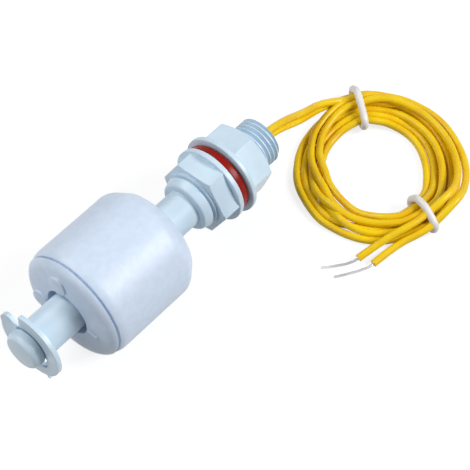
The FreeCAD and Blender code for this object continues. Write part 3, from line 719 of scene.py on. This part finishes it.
def twisted_end(name, places, radius):
    """Twisted strands along a line, run together by solder."""
    rim = bpy.data.curves.new(name + "_rim", "CURVE")
    outline = rim.splines.new("POLY")
    outline.points.add(STRAND_CORNERS * STRANDS - 1)
    for index, point in enumerate(outline.points):
        turn = 2 * math.pi * index / (STRAND_CORNERS * STRANDS)
        reach = radius * MM * (0.93 + 0.07 * math.cos(STRANDS * turn))
        point.co = (reach * math.cos(turn), reach * math.sin(turn), 0, 1)
    outline.use_cyclic_u = True
    section = bpy.data.objects.new(name + "_rim", rim)
    bpy.context.scene.collection.objects.link(section)
    piece = smooth_line(name, places, radius)
    curve = piece.data
    curve.bevel_mode = "OBJECT"
    curve.bevel_object = section
    for index, point in enumerate(curve.splines[0].points):
        point.tilt = 0.8 * index
    curve.splines[0].resolution_u = 12
    alone(piece)
    bpy.ops.object.convert(target="MESH")
    bpy.data.objects.remove(section)
    bpy.ops.object.mode_set(mode="EDIT")
    bpy.ops.mesh.select_all(action="SELECT")
    bpy.ops.mesh.remove_doubles(threshold=0.0001 * MM)
    bpy.ops.mesh.fill_holes(sides=0)
    bpy.ops.mesh.normals_make_consistent(inside=False)
    bpy.ops.object.mode_set(mode="OBJECT")
    bpy.ops.object.shade_smooth_by_angle(angle=math.radians(60))
    return piece


end_a = twisted_end("tinned_wire_a", [
    (29.9, -27.7, 1.15), (29.2, -27.5, 1.0), (28.4, -27.3, 0.75), (27.0, -26.5, 0.55),
    (25.2, -25.1, 0.45), (23.1, -23.4, 0.45),
], END_RADIUS)
end_b = twisted_end("tinned_wire_b", [
    (31.0, -30.4, 0.85), (30.3, -30.4, 0.8), (29.3, -30.3, 0.65), (27.6, -29.4, 0.5),
    (25.4, -28.1, 0.45), (23.1, -26.6, 0.45),
], END_RADIUS)
fitted(end_a, tinned_copper, "switch", "tinned_copper", "tinned_end_a")
fitted(end_b, tinned_copper, "switch", "tinned_copper", "tinned_end_b")

# Ties: two round white plastic bands closed tight about the coil's turns, one where the wires come
# in from the switch and one where they leave for their ends.
tie_white = finish(
    "tie_white", paint(234, 232, 230), paint(220, 216, 214), rough=0.35, grain=0.0004, depth=0.00001
)


def tie_about(name, degrees):
    """Band that follows the outline of the wires where it goes round them."""
    section = wires_at((FIRST_TURN - degrees) // STEP)
    places = []
    for step in range(20):
        outwards = Vector((math.cos(step * math.pi / 10), math.sin(step * math.pi / 10)))
        outermost = max(section, key=outwards.dot)
        reach, height = outermost + outwards * (WIRE_RADIUS + TIE_RADIUS)
        places.append(about_coil(reach, math.radians(degrees), height))
    piece = smooth_line(name, places, TIE_RADIUS, closed=True)
    alone(piece)
    bpy.ops.object.convert(target="MESH")
    bpy.ops.object.shade_smooth()
    return piece


tie_a = fitted(tie_about("coil_tie_a", 55), tie_white, "switch", "tie_plastic", "first_tie")
tie_b = fitted(tie_about("coil_tie_b", -105), tie_white, "switch", "tie_plastic", "second_tie")

# Table: plain white sweep under the switch. Its paint is dark for the lamps, so that it throws little
# light up, and it glows white where it is looked at, a little less near the switch, where its shadow is.
TABLE_PAINT = 0.3
GLOW_BY_SWITCH = 0.78
bpy.ops.object.select_all(action="DESELECT")
bpy.ops.mesh.primitive_plane_add(size=6, location=(0, 0, 0))
table = bpy.context.object
table.name = "table"


def looked_at(tree):
    """Socket that is 1 for a ray from the camera, a mirror or glass, and 0 for a ray of light."""
    ray = tree.nodes.new("ShaderNodeLightPath")
    mirrored = tree.nodes.new("ShaderNodeMath")
    mirrored.operation = "MAXIMUM"
    tree.links.new(ray.outputs["Is Glossy Ray"], mirrored.inputs[0])
    tree.links.new(ray.outputs["Is Transmission Ray"], mirrored.inputs[1])
    seen = tree.nodes.new("ShaderNodeMath")
    seen.operation = "MAXIMUM"
    tree.links.new(ray.outputs["Is Camera Ray"], seen.inputs[0])
    tree.links.new(mirrored.outputs["Value"], seen.inputs[1])
    return seen.outputs["Value"]


table_white = bpy.data.materials.new("table_white")
table_white.use_nodes = True
nodes = table_white.node_tree.nodes
links = table_white.node_tree.links
paper = nodes["Principled BSDF"]
paper.inputs["Base Color"].default_value = (TABLE_PAINT, TABLE_PAINT, TABLE_PAINT, 1)
paper.inputs["Roughness"].default_value = 1.0
paper.inputs["Emission Color"].default_value = (1, 1, 1, 1)
spot = nodes.new("ShaderNodeTexCoord")
away = nodes.new("ShaderNodeVectorMath")
away.operation = "LENGTH"
sweep = nodes.new("ShaderNodeMapRange")
sweep.inputs["From Min"].default_value = 0.12
sweep.inputs["From Max"].default_value = 0.5
sweep.inputs["To Min"].default_value = GLOW_BY_SWITCH
sweep.inputs["To Max"].default_value = 1.0
glow = nodes.new("ShaderNodeMath")
glow.operation = "MULTIPLY"
links.new(spot.outputs["Object"], away.inputs[0])
links.new(away.outputs["Value"], sweep.inputs["Value"])
links.new(looked_at(table_white.node_tree), glow.inputs[0])
links.new(sweep.outputs["Result"], glow.inputs[1])
links.new(glow.outputs["Value"], paper.inputs["Emission Strength"])
table.data.materials.append(table_white)

# Studio light: a dim even room that is white where it is looked at, a large soft key lamp on the
# wires' side, a weak one in front of the head and one high behind the switch.
ROOM_STRENGTH = 0.13
world = bpy.data.worlds.new("room")
bpy.context.scene.world = world
world.use_nodes = True
nodes = world.node_tree.nodes
links = world.node_tree.links
room = nodes["Background"]
room.inputs["Color"].default_value = (1, 1, 1, 1)
room.inputs["Strength"].default_value = ROOM_STRENGTH
backdrop = nodes.new("ShaderNodeBackground")
backdrop.inputs["Color"].default_value = (1, 1, 1, 1)
choice = nodes.new("ShaderNodeMixShader")
links.new(looked_at(world.node_tree), choice.inputs["Fac"])
links.new(room.outputs["Background"], choice.inputs[1])
links.new(backdrop.outputs["Background"], choice.inputs[2])
links.new(choice.outputs["Shader"], nodes["World Output"].inputs["Surface"])


def soft_lamp(name, place, size, power):
    """Square lamp aimed at the middle of the switch."""
    lamp = bpy.data.lights.new(name, "AREA")
    lamp.size = size
    lamp.energy = power
    holder = bpy.data.objects.new(name, lamp)
    holder.location = place
    aim = Vector((0.01, -0.01, 0.01)) - Vector(place)
    holder.rotation_euler = aim.to_track_quat("-Z", "Y").to_euler()
    bpy.context.scene.collection.objects.link(holder)


soft_lamp("key_lamp", (0.35, -0.55, 0.5), 0.35, 5.6)
soft_lamp("front_lamp", (-0.62, 0.22, 0.34), 0.35, 1.3)
soft_lamp("top_lamp", (-0.15, 0.4, 0.6), 0.4, 2.4)

# Camera: long lens looking down on the switch from the head's side.
camera = bpy.data.cameras.new("camera")
camera.lens = 137.2
holder = bpy.data.objects.new("camera", camera)
holder.location = (-0.1349, -0.1404, 0.2798)
heading = math.radians(41.3)
slope = math.radians(53.9)
level = math.cos(slope)
view = Vector((math.cos(heading) * level, math.sin(heading) * level, -math.sin(slope)))
holder.rotation_euler = view.to_track_quat("-Z", "Y").to_euler()
bpy.context.scene.collection.objects.link(holder)
bpy.context.scene.camera = holder
bpy.context.scene.view_settings.view_transform = "Standard"
